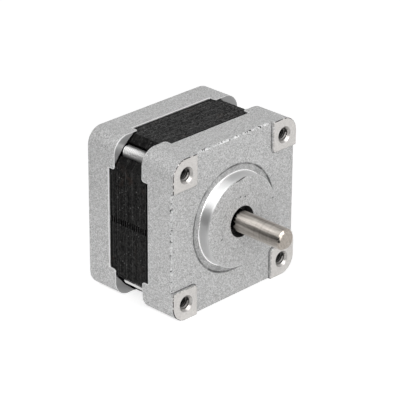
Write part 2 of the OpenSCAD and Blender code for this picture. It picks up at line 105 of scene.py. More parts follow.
# What the attribute edge says of a face, as the group of edge wear reads it. The last value paints a
# highlight along the lobe rims, drawn as bright bare metal.
PLAIN, DENTED, SCUFFED, NICKED, HIGHLIT_RIM = 0.0, 0.45, 0.6, 1.0, 1.9


# ---------- meshes ----------

def all_of(bm):
    """Every vertex, edge and face of the mesh."""
    return list(bm.verts) + list(bm.edges) + list(bm.faces)


def copy_of(node):
    """A merged copy of a CAD node's mesh, with its flat faces joined."""
    bm = bmesh.new()
    bm.from_mesh(nodes[node].data)
    bmesh.ops.remove_doubles(bm, verts=bm.verts, dist=WELD)
    bmesh.ops.dissolve_limit(bm, angle_limit=math.radians(0.6), use_dissolve_boundaries=False,
                             verts=bm.verts, edges=bm.edges, delimit={"NORMAL"})
    return bm


def wear_of(bm):
    """The layer that says how worn each face is, or that a highlight is painted on it, read by the materials
    as the attribute edge.
    """
    return bm.faces.layers.float.get("edge") or bm.faces.layers.float.new("edge")


def round_edges(bm, width, keep=None, worn=PLAIN, number=None, angle=35, segments=2):
    """Rounds the sharp edges that keep allows, and gives the strips their wear, or a painted highlight, and
    their material.
    """
    wear = wear_of(bm)
    sharp = [e for e in bm.edges if e.is_manifold and e.calc_face_angle(0) > math.radians(angle)
             and (keep is None or keep(e))]
    made = bmesh.ops.bevel(bm, geom=sharp, offset=width, offset_type="OFFSET", segments=segments,
                           profile=0.5, affect="EDGES", clamp_overlap=False, material=-1)
    for face in made["faces"]:
        face[wear] = worn
        if number is not None:
            face.material_index = number


def middle_of(edge):
    """The edge's middle."""
    return (edge.verts[0].co + edge.verts[1].co) / 2


def radius_of(edge):
    """The edge's distance from the motor's axis, as the mean of its ends."""
    return (math.hypot(*edge.verts[0].co.xz) + math.hypot(*edge.verts[1].co.xz)) / 2


def to_mesh(bm, name):
    """Writes the bmesh to a new mesh and frees it."""
    mesh = bpy.data.meshes.new(name)
    bm.to_mesh(mesh)
    bm.free()
    return mesh


def to_scene(name, data):
    """Puts data in the scene as a new object."""
    made = bpy.data.objects.new(name, data)
    bpy.context.scene.collection.objects.link(made)
    return made


def finish_piece(bm, name, body, materials, replaces, smooth=20):
    """Makes the mesh a piece that rides on a body, smooth but for its sharp edges."""
    for face in bm.faces:
        face.smooth = True
    for edge in bm.edges:
        edge.smooth = not (edge.is_manifold and edge.calc_face_angle(0) > math.radians(smooth))
    mesh = to_mesh(bm, name)
    for material in materials:
        mesh.materials.append(material)
    piece = to_scene(name, mesh)
    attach(piece, body)
    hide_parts(*replaces)
    return piece


def screw_thread(crest_r, root_r, y0, y1, steps=18):
    """An outer thread about the Y axis from y0 to y1, cut flat and closed at both ends."""
    bm = bmesh.new()
    start = y0 - THREAD_PITCH
    turns = math.ceil((y1 - start) / THREAD_PITCH) + 1
    profile = [(root_r, 0), (root_r, 0.12), (crest_r, 0.44), (crest_r, 0.56), (root_r, 0.88), (root_r, 1)]
    ring = [bm.verts.new((r, start + share * THREAD_PITCH, 0)) for r, share in profile]
    edges = [bm.edges.new(pair) for pair in zip(ring, ring[1:])]
    bmesh.ops.spin(bm, geom=ring + edges, cent=(0, 0, 0), axis=(0, 1, 0), angle=2 * math.pi * turns,
                   steps=steps * turns, dvec=(0, THREAD_PITCH / steps, 0), use_merge=False)
    bmesh.ops.remove_doubles(bm, verts=bm.verts, dist=THREAD_WELD)
    for y, normal in ((y0, (0, -1, 0)), (y1, (0, 1, 0))):
        bmesh.ops.bisect_plane(bm, geom=all_of(bm), plane_co=(0, y, 0), plane_no=normal, clear_outer=True)
    bmesh.ops.remove_doubles(bm, verts=bm.verts, dist=THREAD_WELD)
    bmesh.ops.holes_fill(bm, edges=[e for e in bm.edges if e.is_boundary], sides=0)
    bmesh.ops.recalc_face_normals(bm, faces=bm.faces)
    return bm


def thread_ridge(outer_r, crest_r, y0, y1, steps=20):
    """The ridge of an inner thread about the Y axis, a closed coil with its foot at outer_r."""
    bm = bmesh.new()
    half = 0.46 * THREAD_PITCH
    tip = 0.08 * THREAD_PITCH
    ring = [bm.verts.new((r, y0 + y, 0)) for r, y in
            ((outer_r, -half), (crest_r, -tip), (crest_r, tip), (outer_r, half))]
    foot = bm.faces.new(ring)
    count = int(steps * (y1 - y0) / THREAD_PITCH)
    bmesh.ops.spin(bm, geom=[foot] + list(foot.edges) + ring, cent=(0, 0, 0), axis=(0, 1, 0),
                   angle=2 * math.pi * count / steps, steps=count,
                   dvec=(0, THREAD_PITCH / steps, 0), use_merge=False)
    bmesh.ops.recalc_face_normals(bm, faces=bm.faces)
    return bm


def join(bm, other):
    """Adds the other mesh to this one, and frees the other."""
    mesh = to_mesh(other, "joined")
    bm.from_mesh(mesh)
    bpy.data.meshes.remove(mesh)


def join_at_corners(bm, other, number=0):
    """Adds a copy of the other mesh on each screw axis, its faces given a material number."""
    for face in other.faces:
        face.material_index = number
    for axis in screw_axes:
        made = other.copy()
        bmesh.ops.translate(made, verts=made.verts, vec=axis)
        join(bm, made)
    other.free()


# ---------- node trees ----------

class Tree:
    """Short words for building a node tree."""

    def __init__(self, tree):
        self.nodes, self.links = tree.nodes, tree.links

    def add(self, kind, settings=None, **inputs):
        """Adds a node. An input's name has _ for each space."""
        node = self.nodes.new("ShaderNode" + kind)
        for name, value in (settings or {}).items():
            setattr(node, name, value)
        for name, value in inputs.items():
            self.put(node.inputs[name.replace("_", " ")], value)
        return node

    def put(self, socket, value):
        """Links the value to the socket, or sets it there."""
        if isinstance(value, bpy.types.NodeSocket):
            self.links.new(value, socket)
        elif isinstance(value, (tuple, list)) and socket.type == "RGBA":
            socket.default_value = (*value[:3], 1)
        else:
            socket.default_value = value

    def math(self, kind, a, b=0.0, clamp=False):
        """One step of arithmetic."""
        node = self.nodes.new("ShaderNodeMath")
        node.operation, node.use_clamp = kind, clamp
        self.put(node.inputs[0], a)
        self.put(node.inputs[1], b)
        return node.outputs[0]

    def weigh(self, *parts):
        """The sum of values, each times its share."""
        total, *others = [self.math("MULTIPLY", value, share) for value, share in parts]
        for other in others:
            total = self.math("ADD", total, other)
        return total

    def squares(self, a, b):
        """The sum of two values' squares."""
        return self.math("ADD", self.math("POWER", a, 2.0), self.math("POWER", b, 2.0))

    def apart(self, place):
        """A place's X, Y and Z."""
        return self.add("SeparateXYZ", Vector=place).outputs

    def radius(self, part):
        """The distance from the motor's axis."""
        return self.math("SQRT", self.squares(part["X"], part["Z"]))

    def ramp(self, value, low, high, to_low=0.0, to_high=1.0):
        """Maps a value between two limits, held at both ends."""
        node = self.add("MapRange", {"clamp": True}, Value=value)
        for name, number in (("From Min", low), ("From Max", high), ("To Min", to_low), ("To Max", to_high)):
            self.put(node.inputs[name], number)
        return node.outputs["Result"]

    def mix(self, factor, a, b):
        """Mixes two colours."""
        node = self.nodes.new("ShaderNodeMix")
        node.data_type = "RGBA"
        self.put(node.inputs["Factor"], factor)
        self.put(node.inputs[6], a)
        self.put(node.inputs[7], b)
        return node.outputs[2]

    def noise(self, place, scale, detail=2.0, roughness=0.5):
        """Soft noise between 0 and 1."""
        return self.add("TexNoise", Vector=place, Scale=scale, Detail=detail,
                        Roughness=roughness).outputs["Fac"]


def grey(level, warm=0.0):
    """A grey written as it looks on the screen, warmed a little, as linear colour."""
    return tuple(max(level + shift, 0) ** 2.2 for shift in (warm, 0.0, -warm))


def new_group(name, inputs, outputs):
    """A node group with float inputs, a Place vector and float outputs."""
    group = bpy.data.node_groups.new(name, "ShaderNodeTree")
    group.interface.new_socket("Place", in_out="INPUT", socket_type="NodeSocketVector")
    for socket, value in inputs.items():
        made = group.interface.new_socket(socket, in_out="INPUT", socket_type="NodeSocketFloat")
        made.default_value = value
    for socket in outputs:
        group.interface.new_socket(socket, in_out="OUTPUT", socket_type="NodeSocketFloat")
    tree = Tree(group)
    given, out = tree.nodes.new("NodeGroupInput").outputs, tree.nodes.new("NodeGroupOutput").inputs
    return group, tree, given, out


def build_grain_group():
    """Blasted skin: crisp small dints with a little mottle, sparse pits and bright specks."""
    group, t, given, out = new_group("blasted grain", {"Size": 0.3 * MM, "Pits": 0.5, "Specks": 0.5},
                                     ("Tone", "Height", "Pit", "Speck"))
    scale = t.math("DIVIDE", 1.0, given["Size"])
    bent = t.add("TexNoise", Vector=given["Place"], Scale=scale, Detail=1.0)
    place = t.add("VectorMath", {"operation": "MULTIPLY_ADD"})
    t.put(place.inputs[0], bent.outputs["Color"])
    t.put(place.inputs[1], (0.3 * MM, 0.3 * MM, 0.3 * MM))
    t.put(place.inputs[2], given["Place"])
    dints = t.add("TexVoronoi", Vector=place.outputs[0], Scale=scale)
    each = t.add("SeparateColor", Color=dints.outputs["Color"]).outputs
    fine = t.noise(given["Place"], t.math("MULTIPLY", scale, 1.3), 2.0, 0.6)
    mottle = t.noise(given["Place"], t.math("MULTIPLY", scale, 0.16), 2.0, 0.5)
    t.put(out["Tone"], t.weigh((each[2], 0.54), (fine, 0.40), (mottle, 0.06)))
    spots = t.add("TexVoronoi", Vector=given["Place"], Scale=t.math("MULTIPLY", scale, 0.34))
    picked = t.add("SeparateColor", Color=spots.outputs["Color"]).outputs
    dot = t.ramp(spots.outputs["Distance"], 0.16, 0.30, 1.0, 0.0)
    pitted = t.math("LESS_THAN", picked[0], t.math("MULTIPLY", given["Pits"], 0.12))
    bright = t.math("LESS_THAN", picked[1], t.math("MULTIPLY", given["Specks"], 0.12))
    pit = t.math("MULTIPLY", dot, pitted)
    t.put(out["Pit"], pit)
    t.put(out["Speck"], t.math("MULTIPLY", dot, bright))
    relief = t.math("SUBTRACT", fine, dints.outputs["Distance"])
    t.put(out["Height"], t.math("SUBTRACT", relief, t.math("MULTIPLY", pit, 1.5)))
    return group


def build_turning_group():
    """Lathe marks with an uneven slow tone: rings about the motor's axis, or hoops along it at 1."""
    group, t, given, out = new_group("lathe rings", {"Pitch": 0.12 * MM, "Along": 0.0},
                                     ("Tone", "Height"))
    part = t.apart(given["Place"])
    travel = t.weigh((t.radius(part), t.math("SUBTRACT", 1.0, given["Along"])),
                     (part["Y"], given["Along"]))
    turn = t.math("DIVIDE", travel, given["Pitch"])
    line = t.add("CombineXYZ", X=turn, Y=0.0, Z=0.0).outputs[0]
    slow_line = t.add("CombineXYZ", X=t.math("MULTIPLY", turn, 0.13), Y=3.0, Z=0.0).outputs[0]
    fine = t.noise(line, 1.0, 2.0, 0.7)
    slow = t.noise(slow_line, 1.0, 2.0)
    t.put(out["Height"], fine)
    t.put(out["Tone"], t.weigh((fine, 0.5), (slow, 0.5)))
    return group


def build_ring_mark_group():
    """A thin uneven ring on the front faces, such as painted shade and dirt along a turned step."""
    group, t, given, out = new_group("ring mark", {"Radius": 12 * MM, "Width": 0.2 * MM, "Behind": MM},
                                     ("Mask",))
    part = t.apart(given["Place"])
    off_line = t.math("ABSOLUTE", t.math("SUBTRACT", t.radius(part), given["Radius"]))
    away = t.math("DIVIDE", off_line, given["Width"])
    patchy = t.ramp(t.noise(given["Place"], 1 / (3.5 * MM), 3.0, 0.6), 0.36, 0.56, 0.25, 1.0)
    line = t.math("MULTIPLY", t.ramp(away, 0.35, 1.0, 1.0, 0.0), patchy)
    t.put(out["Mask"], t.math("MULTIPLY", line, t.math("LESS_THAN", part["Y"], given["Behind"])))
    return group


def build_smear_group():
    """Handling marks: soft streaks that are long in one direction."""
    group, t, given, out = new_group("smears", {"Size": 2 * MM, "Stretch": 6.0}, ("Tone",))
    part = t.apart(given["Place"])
    scale = t.math("DIVIDE", 1.0, given["Size"])
    place = t.add("CombineXYZ", X=t.math("MULTIPLY", part["X"], scale),
                  Y=t.math("MULTIPLY", part["Y"], t.math("DIVIDE", scale, given["Stretch"])),
                  Z=t.math("MULTIPLY", part["Z"], scale)).outputs[0]
    t.put(out["Tone"], t.noise(place, 1.0, 3.0, 0.55))
    return group


def build_corner_shade_group():
    """Painted shade in narrow inside corners: 1 there and 0 on open faces."""
    group, t, given, out = new_group("painted corner shade", {"Reach": MM, "Low": 0.35, "High": 0.8}, ("Mask",))
    open_share = t.add("AmbientOcclusion", {"samples": 6}, Distance=given["Reach"]).outputs["AO"]
    t.put(out["Mask"], t.ramp(open_share, given["Low"], given["High"], 1.0, 0.0))
    return group


def build_edge_wear_and_highlight_group():
    """Wear on the strips that the attribute edge marks: dents, nicks from SCUFFED up, and near 2 a painted
    highlight drawn as bare metal.
    """
    group, t, given, out = new_group("edge wear and rim highlight", {"Nick": MM, "Dent": 0.7 * MM, "Dent Share": 0.43},
                                     ("Cover", "Bare And Highlight", "Dent"))
    strip = t.add("Attribute", {"attribute_name": "edge"}).outputs["Fac"]
    nick = t.noise(given["Place"], t.math("DIVIDE", 1.0, given["Nick"]), 3.0, 0.65)
    nick = t.math("MULTIPLY", t.ramp(nick, 0.46, 0.56), t.ramp(strip, 0.5, 0.9))
    t.put(out["Bare And Highlight"], t.math("MAXIMUM", nick, t.math("SUBTRACT", strip, 1.0)))
    aside = t.add("Mapping", Vector=given["Place"], Location=(0.011, 0.007, 0.013)).outputs[0]
    dent = t.noise(aside, t.math("DIVIDE", 1.0, given["Dent"]), 2.0)
    dent = t.ramp(t.math("ADD", dent, given["Dent Share"]), 1.0, 1.05)
    t.put(out["Dent"], t.math("MULTIPLY", dent, t.ramp(strip, 1.0, 1.5, 1.0, 0.0)))
    t.put(out["Cover"], t.math("MULTIPLY", strip, 2.0, clamp=True))
    return group


GROUPS = {
    "grain": build_grain_group(),
    "ring mark": build_ring_mark_group(),
    "turning": build_turning_group(),
    "smears": build_smear_group(),
    "painted corner shade": build_corner_shade_group(),
    "edge wear and rim highlight": build_edge_wear_and_highlight_group(),
}


class Finish(Tree):
    """A material with one Principled shader, whose effects come from the shared groups."""

    def __init__(self, name, metallic=1.0, specular=0.5, coat=0.0, coat_roughness=0.1, turned=0.0):
        self.material = bpy.data.materials.new(name)
        self.material.use_nodes = True
        super().__init__(self.material.node_tree)
        self.shader = self.nodes["Principled BSDF"]
        self.shader.inputs["Metallic"].default_value = metallic
        self.shader.inputs["Specular IOR Level"].default_value = specular
        self.shader.inputs["Coat Weight"].default_value = coat
        self.shader.inputs["Coat Roughness"].default_value = coat_roughness
        self.place = self.add("TexCoord").outputs["Object"]
        if turned:
            # Tool marks run round the motor's axis and draw the highlights out across them
            self.shader.inputs["Anisotropic"].default_value = turned
            self.shader.inputs["Anisotropic Rotation"].default_value = 0.25
            around = self.add("Tangent", {"direction_type": "RADIAL", "axis": "Y"})
            self.put(self.shader.inputs["Tangent"], around.outputs[0])

    def group(self, name, **inputs):
        """Places a shared group on the object's coordinates."""
        node = self.nodes.new("ShaderNodeGroup")
        node.node_tree = GROUPS[name]
        self.put(node.inputs["Place"], self.place)
        for socket, value in inputs.items():
            self.put(node.inputs[socket], value)
        return node.outputs

    def moved(self, location=(0, 0, 0), rotation=(0, 0, 0), scale=(1, 1, 1)):
        """The object's coordinates, moved, turned and stretched by a Mapping node."""
        return self.add("Mapping", Vector=self.place, Location=location, Rotation=rotation,
                        Scale=scale).outputs[0]

    def cover(self, color, mask, share, other):
        """The colour, with a share of another over it where the mask is 1."""
        return self.mix(self.math("MULTIPLY", mask, share), color, other)

    def roughness(self, tone, dull, bright):
        """Roughness that goes from dull to bright as the tone rises."""
        return self.ramp(tone, 0.3, 0.7, dull, bright)

    def corners(self, reach, low=0.35, high=0.8):
        """1 in narrow inside corners, where shade is painted."""
        return self.group("painted corner shade", Reach=reach, Low=low, High=high)["Mask"]

    def worn_and_highlit_edges(self, color, dents=0.43):
        """The colour with bare metal and dark dents on the worn edges, and a painted highlight on the lobe
        rims.
        """
        wear = self.group("edge wear and rim highlight", **{"Dent Share": dents})
        tone = self.mix(wear["Bare And Highlight"], color, grey(0.93))
        tone = self.mix(wear["Dent"], tone, grey(0.12))
        return self.mix(wear["Cover"], color, tone)

    def spot(self, place, half_x, half_z):
        """1 inside an oval mark on the pilot's face, 0 outside."""
        part = self.apart(place)
        off_middle = self.squares(self.math("DIVIDE", part["X"], half_x),
                                  self.math("DIVIDE", part["Z"], half_z))
        inside = self.ramp(off_middle, 0.5, 1.2, 1.0, 0.0)
        return self.math("MULTIPLY", inside, self.math("LESS_THAN", part["Y"], -MM))

    def pad_foot_shade(self):
        """1 in a hair line round the four pads' inner edges: painted shade at the foot of the pads' step."""
        part = self.apart(self.place)
        reach = []
        for axis in "XZ":
            inward = self.math("SUBTRACT", PAD_EDGE + PAD_CORNER_R, self.math("ABSOLUTE", part[axis]))
            reach.append(self.math("MAXIMUM", inward, 0.0))
        from_centre = self.math("SQRT", self.squares(*reach))
        away = self.math("ABSOLUTE", self.math("SUBTRACT", from_centre, PAD_CORNER_R + 0.16 * MM))
        line = self.ramp(away, 0.08 * MM, 0.17 * MM, 1.0, 0.0)
        broken = self.ramp(self.noise(self.place, 1 / (1.1 * MM), 3.0, 0.65), 0.40, 0.56, 0.45, 1.0)
        line = self.math("MULTIPLY", line, broken)
        return self.math("MULTIPLY", line, self.math("LESS_THAN", part["Y"], 0.8 * MM))

    def look(self, color, roughness, height, relief, strength):
        """Gives the shader its colour, roughness and bump, and returns the material."""
        self.put(self.shader.inputs["Base Color"], color)
        self.put(self.shader.inputs["Roughness"], roughness)
        bump = self.add("Bump", Strength=strength, Distance=relief, Height=height)
        self.put(self.shader.inputs["Normal"], bump.outputs["Normal"])
        return self.material


# Small pits on the pilot's face, as X and Z in millimetres
PILOT_PITS = (-0.63, 6.16), (0.91, 5.81), (9.9, 2.6), (-6.43, -2.33)

# Dark rings on the front: radius, width, how far back, share of the colour, and tone
DARK_RINGS = (
    # This ring is painted shade and dirt along the recess's step
    (RECESS_R, 0.36 * MM, MM, 0.85, 0.26),     # the recess's step
    (11.9 * MM, 1.1 * MM, MM, 0.32, 0.42),     # the recess's floor
    (6.3 * MM, 0.2 * MM, -MM, 0.22, 0.42),     # a faint circle on the pilot's face
)


def blasted_aluminium():
    """Shot-blasted casting, with painted shade in its corners, nicks and pits along its edges, and a painted
    highlight along its lobe rims.
    """
    f = Finish("blasted aluminium", metallic=0.3, specular=0.4)
    grain = f.group("grain", Size=0.16 * MM, Pits=0.35, Specks=0.4)
    color = f.mix(f.ramp(grain["Tone"], 0.30, 0.68), grey(0.63, 0.001), grey(0.86))
    color = f.cover(color, grain["Pit"], 0.75, grey(0.25))
    color = f.cover(color, grain["Speck"], 0.7, grey(0.97))
    # Painted shade in the casting's narrow inside corners
    color = f.cover(color, f.corners(0.5 * MM), 0.8, grey(0.25))
    color = f.worn_and_highlit_edges(color)
    # The pilot's face is a little darker, with a scrape along its upper edge and small pits
    color = f.cover(color, f.spot(f.place, pilot_r, pilot_r), 0.09, grey(0.40, 0.01))
    scrape = f.moved(location=(-1.13 * MM, 0, -10.35 * MM), rotation=(0, 0.17, 0))
    color = f.cover(color, f.spot(scrape, 1.9 * MM, 0.17 * MM), 0.95, grey(0.2))
    for x, z in PILOT_PITS:
        pit = f.spot(f.moved(location=(-x * MM, 0, -z * MM)), 0.24 * MM, 0.20 * MM)
        color = f.cover(color, pit, 0.95, grey(0.2))
    # Painted shade in a hair line at the foot of the pads
    color = f.cover(color, f.pad_foot_shade(), 0.9, grey(0.26))
    for radius, width, behind, share, tone in DARK_RINGS:
        ring = f.group("ring mark", Radius=radius, Width=width, Behind=behind)["Mask"]
        color = f.cover(color, ring, share, grey(tone))
    return f.look(color, f.roughness(grain["Tone"], 0.62, 0.48), grain["Height"], 0.03 * MM, 0.85)


def milled_aluminium():
    """Machined pad: smoother, slightly warm, with faint straight cutter lines."""
    f = Finish("milled aluminium", metallic=0.35, specular=0.4)
    grain = f.group("grain", Size=0.30 * MM, Pits=0.05, Specks=0.1)
    lines = f.noise(f.moved(rotation=(0, 0.6, 0), scale=(1, 1, 14)), 1 / (1.6 * MM), 2.0)
    tone = f.weigh((grain["Tone"], 0.45), (lines, 0.55))
    color = f.mix(f.ramp(tone, 0.35, 0.65), grey(0.785, 0.012), grey(0.855, 0.012))
    color = f.worn_and_highlit_edges(color, 0.57)
    return f.look(color, f.roughness(tone, 0.46, 0.36), lines, 0.01 * MM, 0.25)


def turned_lobe_ends():
    """Lathe-cut end faces of the castings' corner lobes."""
    f = Finish("turned lobe ends", turned=1.0)
    rings = f.group("turning", Pitch=0.10 * MM)
    color = f.mix(rings["Tone"], grey(0.46), grey(0.72))
    return f.look(color, f.roughness(rings["Tone"], 0.40, 0.30), rings["Height"], 0.012 * MM, 0.35)


def pilot_wall_aluminium():
    """The pilot's cylindrical wall, turned bright."""
    f = Finish("turned pilot wall", turned=1.0)
    rings = f.group("turning", Pitch=0.16 * MM, Along=1.0)
    color = f.mix(rings["Tone"], grey(0.76), grey(0.90))
    return f.look(color, f.roughness(rings["Tone"], 0.56, 0.48), rings["Height"], 0.008 * MM, 0.25)


def burnished_aluminium():
    """The narrow fillet at the pilot's foot, rubbed bright by the tool's nose."""
    f = Finish("burnished fillet")
    rings = f.group("turning", Pitch=0.08 * MM)
    color = f.mix(rings["Tone"], grey(0.93), grey(1.0))
    return f.look(color, f.roughness(rings["Tone"], 0.30, 0.20), rings["Height"], 0.004 * MM, 0.2)


def tapped_aluminium():
    """The cut threads and countersinks, with painted shade that deepens into the holes."""
    f = Finish("tapped aluminium", metallic=0.9)
    marks = f.noise(f.place, 1 / (0.4 * MM), 3.0)
    color = f.mix(marks, grey(0.50, 0.01), grey(0.76, 0.01))
    # Painted shade: darker with depth into the hole, near black in its narrow corners
    deep = f.ramp(f.apart(f.place)["Y"], 0.5 * MM, 2.2 * MM)
    color = f.mix(deep, color, grey(0.24))
    color = f.cover(color, f.corners(2 * MM, 0.35, 0.9), 0.97, grey(0.08))
    return f.look(color, f.roughness(marks, 0.42, 0.28), marks, 0.01 * MM, 0.3)


def sheet_steel():
    """Stamped sheet edges under black varnish, each sheet a little different, with grit."""
    f = Finish("varnished sheet edges", metallic=0.0, specular=0.12)
    along = f.apart(f.place)["Y"]
    sheet = f.math("DIVIDE", along, SHEET)
    each = f.add("TexWhiteNoise", {"noise_dimensions": "1D"}, W=f.math("FLOOR", sheet)).outputs["Value"]
    grain = f.group("grain", Size=0.22 * MM, Pits=0.0, Specks=0.9)
    drag = f.noise(f.moved(scale=(1, 4, 1)), 1 / (0.8 * MM), 3.0, 0.7)
    tone = f.weigh((each, 0.12), (drag, 0.18), (grain["Tone"], 0.7))
    color = f.mix(f.ramp(tone, 0.46, 0.62), grey(0.0), grey(0.165, 0.003))
    # A light burr along the cut edge of some sheets
    edge = f.math("LESS_THAN", f.math("FRACT", sheet), 0.3)
    burr = f.math("MULTIPLY", f.math("MULTIPLY", edge, f.ramp(each, 0.60, 0.95)), f.ramp(drag, 0.42, 0.6))
    color = f.mix(burr, color, grey(0.31))
    rust = f.noise(f.moved(location=(0.003, 0.001, 0.002)), 1 / (5 * MM), 3.0, 0.6)
    color = f.cover(color, f.ramp(rust, 0.60, 0.72), 0.5, (0.036, 0.019, 0.013))
    color = f.cover(color, grain["Speck"], 0.8, grey(0.38))
    # Painted shade: black and dull where the stack meets the caps, and in the stack's narrow corners
    from_caps = f.math("MINIMUM", f.math("SUBTRACT", along, stack_lo.y),
                       f.math("SUBTRACT", stack_hi.y, along))
    dull = f.ramp(from_caps, 0.55 * MM, 0.75 * MM, 1.0, 0.0)
    color = f.mix(f.math("MAXIMUM", dull, f.corners(0.6 * MM, 0.4, 0.8)), color, grey(0.0))
    rough = f.math("MAXIMUM", f.ramp(tone, 0.45, 0.56, 0.78, 0.12), dull)
    return f.look(color, rough, grain["Height"], 0.05 * MM, 0.8)


def ground_shaft_steel():
    """Centreless-ground shaft: fine hoops, long soft smears and a warm tint."""
    f = Finish("ground shaft steel", turned=1.0)
    rings = f.group("turning", Pitch=0.07 * MM, Along=1.0)
    smear = f.group("smears", Size=0.9 * MM, Stretch=14.0)
    tone = f.weigh((rings["Tone"], 0.3), (smear["Tone"], 0.7))
    color = f.mix(f.ramp(tone, 0.38, 0.62), (0.18, 0.162, 0.146), (0.57, 0.535, 0.495))
    # Painted shade: the shaft goes black where it enters the hole, with a ragged edge
    ragged = f.noise(f.moved(scale=(1, 0.3, 1)), 1 / (0.55 * MM), 2.0, 0.6)
    depth = f.math("ADD", f.apart(f.place)["Y"], f.math("MULTIPLY", ragged, 2.4 * MM))
    color = f.mix(f.ramp(depth, -1.0 * MM, -0.6 * MM), color, grey(0.05))
    return f.look(color, f.roughness(tone, 0.42, 0.29), rings["Height"], 0.004 * MM, 0.25)


def faced_steel():
    """The shaft's faced end and chamfer, cut across and left a little matt."""
    f = Finish("faced shaft end")
    rings = f.group("turning", Pitch=0.09 * MM)
    grain = f.group("grain", Size=0.2 * MM, Pits=0.2, Specks=0.2)
    color = f.mix(f.ramp(grain["Tone"], 0.25, 0.7), (0.28, 0.25, 0.225), (0.41, 0.375, 0.335))
    return f.look(color, f.roughness(rings["Tone"], 0.22, 0.15), rings["Height"], 0.004 * MM, 0.3)


def plated_metal(name, low, high, warm=0.0, rough=0.3, metallic=1.0, gap_shade=0.0, reach=3 * MM):
    """Small metal parts: turned marks, faint handling smears and painted shade in deep gaps."""
    f = Finish(name, metallic=metallic)
    rings = f.group("turning", Pitch=0.10 * MM)
    smear = f.group("smears", Size=0.8 * MM, Stretch=3.0)
    tone = f.weigh((rings["Tone"], 0.4), (smear["Tone"], 0.6))
    color = f.mix(f.ramp(tone, 0.3, 0.7), grey(low, warm), grey(high, warm))
    # Painted shade, near black, in deep gaps and hollows
    if gap_shade:
        color = f.cover(color, f.corners(reach, 0.3, 0.7), gap_shade, grey(0.04))
    return f.look(color, f.roughness(tone, rough + 0.08, rough - 0.06), rings["Height"], 0.006 * MM, 0.3)


def rotor_sheets():
    """The rotor cores' pressed sheets, ground bright on their teeth."""
    f = Finish("rotor sheets")
    rings = f.group("turning", Pitch=0.25 * MM, Along=1.0)
    smear = f.group("smears", Size=1.2 * MM, Stretch=0.4)
    color = f.mix(rings["Tone"], grey(0.42), grey(0.58))
    return f.look(color, f.roughness(smear["Tone"], 0.48, 0.34), rings["Height"], 0.02 * MM, 0.5)


def sintered_magnet():
    """A ground sintered disc: dark, dense and slightly grainy."""
    f = Finish("sintered magnet", metallic=0.6)
    grain = f.group("grain", Size=0.12 * MM, Pits=0.4, Specks=0.2)
    color = f.mix(f.ramp(grain["Tone"], 0.35, 0.65), grey(0.26), grey(0.36))
    return f.look(color, f.roughness(grain["Tone"], 0.55, 0.42), grain["Height"], 0.01 * MM, 0.4)


def moulded_plastic(name, low, high, warm):
    """Moulded plastic with a fine spark-eroded texture and faint flow marks."""
    f = Finish(name, metallic=0.0, specular=0.45)
    grain = f.group("grain", Size=0.14 * MM, Pits=0.0, Specks=0.0)
    flow = f.group("smears", Size=3 * MM, Stretch=2.5)
    tone = f.weigh((grain["Tone"], 0.4), (flow["Tone"], 0.6))
    color = f.mix(f.ramp(tone, 0.3, 0.7), grey(low, warm), grey(high, warm))
    return f.look(color, f.roughness(tone, 0.46, 0.34), grain["Height"], 0.008 * MM, 0.3)


def enamelled_wire():
    """Rows of enamelled wire round each pole, with a gloss that breaks along the turns and painted shade
    between the turns.
    """
    f = Finish("enamelled copper wire", metallic=0.55, coat=0.6, coat_roughness=0.15)
    turn = f.math("FRACT", f.math("DIVIDE", f.radius(f.apart(f.place)), 0.22 * MM))
    crown_and_shade = f.math("SINE", f.math("MULTIPLY", turn, math.pi))
    smear = f.group("smears", Size=1.5 * MM, Stretch=1.0)
    # Painted shade: each turn darkens towards the gaps beside it
    color = f.mix(f.ramp(crown_and_shade, 0.0, 0.7), (0.10, 0.025, 0.008), (0.52, 0.19, 0.07))
    color = f.mix(f.ramp(smear["Tone"], 0.35, 0.75), color, (0.60, 0.26, 0.10))
    return f.look(color, f.roughness(smear["Tone"], 0.38, 0.24), crown_and_shade, 0.08 * MM, 0.8)


def board_laminate():
    """Green lacquer over woven glass, with the weave just showing."""
    f = Finish("board laminate", metallic=0.0, coat=0.4)
    weave = f.add("TexChecker", Vector=f.place, Scale=1 / (0.5 * MM)).outputs["Fac"]
    smear = f.group("smears", Size=2 * MM, Stretch=1.0)
    tone = f.weigh((weave, 0.3), (smear["Tone"], 0.7))
    color = f.mix(f.ramp(tone, 0.2, 0.8), (0.012, 0.075, 0.025), (0.028, 0.14, 0.05))
    return f.look(color, f.ramp(tone, 0.2, 0.8, 0.4, 0.28), weave, 0.01 * MM, 0.2)


# The finish of each material slot in the record
FINISHES = {
    "cast_cap": blasted_aluminium(),
    "lamination": sheet_steel(),
    "insulator": moulded_plastic("insulator plastic", 0.84, 0.92, warm=0.015),
    "winding": enamelled_wire(),
    "shaft_steel": ground_shaft_steel(),
    "rotor_steel": rotor_sheets(),
    "magnet": sintered_magnet(),
    "spacer_brass": plated_metal("spacer brass", 0.62, 0.78, warm=0.09),
    # The bearing's and the screws' finishes paint shade into their deep gaps
    "bearing_steel": plated_metal("bearing steel", 0.66, 0.80, rough=0.22, gap_shade=0.97),
    "ball_steel": plated_metal("polished balls", 0.80, 0.90, rough=0.12),
    "cage_brass": plated_metal("cage brass", 0.60, 0.76, warm=0.10),
    "spring_steel": plated_metal("spring steel", 0.50, 0.64, rough=0.34),
    "screw_steel": plated_metal("zinc-plated steel", 0.86, 0.97, warm=0.002, metallic=0.8,
                                gap_shade=0.4, reach=0.5 * MM),
    "board": board_laminate(),
    "connector_plastic": moulded_plastic("connector plastic", 0.86, 0.93, warm=0.02),
    "pin_metal": plated_metal("tinned pins", 0.70, 0.84, warm=0.04, rough=0.28),
}
SCREW_HEAD = plated_metal("zinc-plated screw heads", 0.66, 0.80, warm=0.004, metallic=0.9,
                          gap_shade=0.9, reach=0.8 * MM)
MILLED, TAPPED = milled_aluminium(), tapped_aluminium()
LOBE_END = turned_lobe_ends()
WALL, FILLET = pilot_wall_aluminium(), burnished_aluminium()
